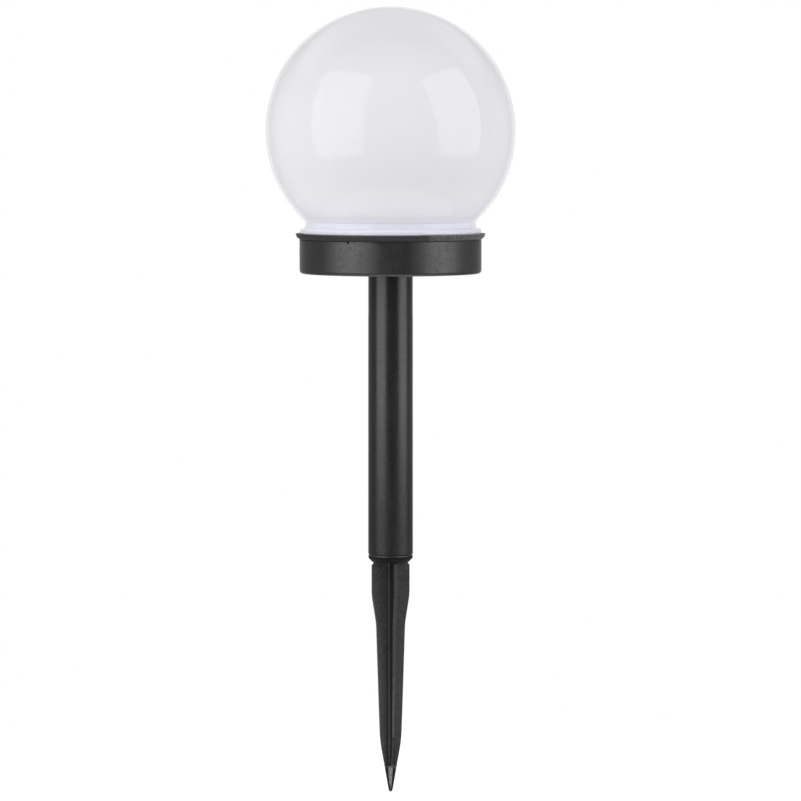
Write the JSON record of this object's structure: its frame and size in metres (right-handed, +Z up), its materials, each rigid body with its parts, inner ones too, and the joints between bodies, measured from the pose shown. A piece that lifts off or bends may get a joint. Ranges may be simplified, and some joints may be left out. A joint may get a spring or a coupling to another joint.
{
  "type": "garden globe light",
  "caption": "Solar garden light: white opal ball on a black round base, a slim black post and a cross-bladed ground spike.",
  "frame": {"origin": "on the lamp's axis at ground level, where the underside of the spike's collar meets the soil", "axes": "+Z up along the post; X and Y along the spike's blades, with the front blade at -Y"},
  "size_m": [0.1, 0.1, 0.3163],
  "materials": {
    "black_plastic": "satin moulded",
    "black_tube": "satin extruded",
    "opal_plastic": "opal white, glossy",
    "seal_rubber": "matte",
    "steel": "bright zinc",
    "battery_sleeve": "shrink sleeve",
    "circuit_board": "solder mask",
    "white_board": "white solder mask",
    "chip_resin": "moulded",
    "ferrite": "sintered",
    "copper_wire": "enamelled",
    "capacitor_sleeve": "sleeve",
    "switch_lever": "moulded",
    "clear_resin": "clear cast",
    "solar_silicon": "dark blue cell",
    "led_lens": "yellow phosphor",
    "red_wire": "insulation",
    "black_wire": "insulation"
  },
  "bodies": {
    "spike": {"ground_spike": "black_plastic"},
    "post": {"post_tube": "black_tube"},
    "base": {"lower_housing": "black_plastic", "upper_housing": "black_plastic", "housing_seal": "seal_rubber", "housing_screws": "steel", "battery": "battery_sleeve", "battery_spring": "steel", "driver_board": "circuit_board", "board_screws": "steel", "driver_chip": "chip_resin", "inductor_core": "ferrite", "inductor_winding": "copper_wire", "capacitor": "capacitor_sleeve", "switch_body": "chip_resin", "panel_board": "circuit_board", "panel_resin": "clear_resin", "light_board": "white_board", "solar_cell_1": "solar_silicon", "led_1": "led_lens", "solar_cell_2": "solar_silicon", "led_2": "led_lens", "solar_cell_3": "solar_silicon", "led_3": "led_lens", "solar_cell_4": "solar_silicon", "led_4": "led_lens", "positive_contact": "steel", "positive_panel_wire": "red_wire", "positive_light_wire": "red_wire", "positive_battery_wire": "red_wire", "negative_contact": "steel", "negative_panel_wire": "black_wire", "negative_light_wire": "black_wire", "negative_battery_wire": "black_wire"},
    "lever": {"switch_lever": "switch_lever"},
    "seal": {"globe_seal": "seal_rubber"},
    "ball": {"globe": "opal_plastic"}
  },
  "joints": [
    {"name": "post_pull", "type": "slide", "parent": "spike", "child": "post", "axis": [0, 0, 1], "range_m": [0, 0.016]},
    {"name": "base_pull", "type": "slide", "parent": "post", "child": "base", "axis": [0, 0, 1], "range_m": [0, 0.019]},
    {"name": "ball_lift", "type": "slide", "parent": "base", "child": "seal", "axis": [0, 0, 1], "range_m": [0, 0.007]},
    {"name": "ball_turn", "type": "hinge", "parent": "seal", "child": "ball", "pos_m": [0, 0, 0.132], "axis": [0, 0, 1], "range_deg": [0, 90]},
    {"name": "switch_slide", "type": "slide", "parent": "base", "child": "lever", "axis": [1, 0, 0], "range_m": [0, 0.002]}
  ],
  "couplings": [
    {"joint": "ball_lift", "follows": "ball_turn", "m_per_rad": 0.0044563}
  ]
}
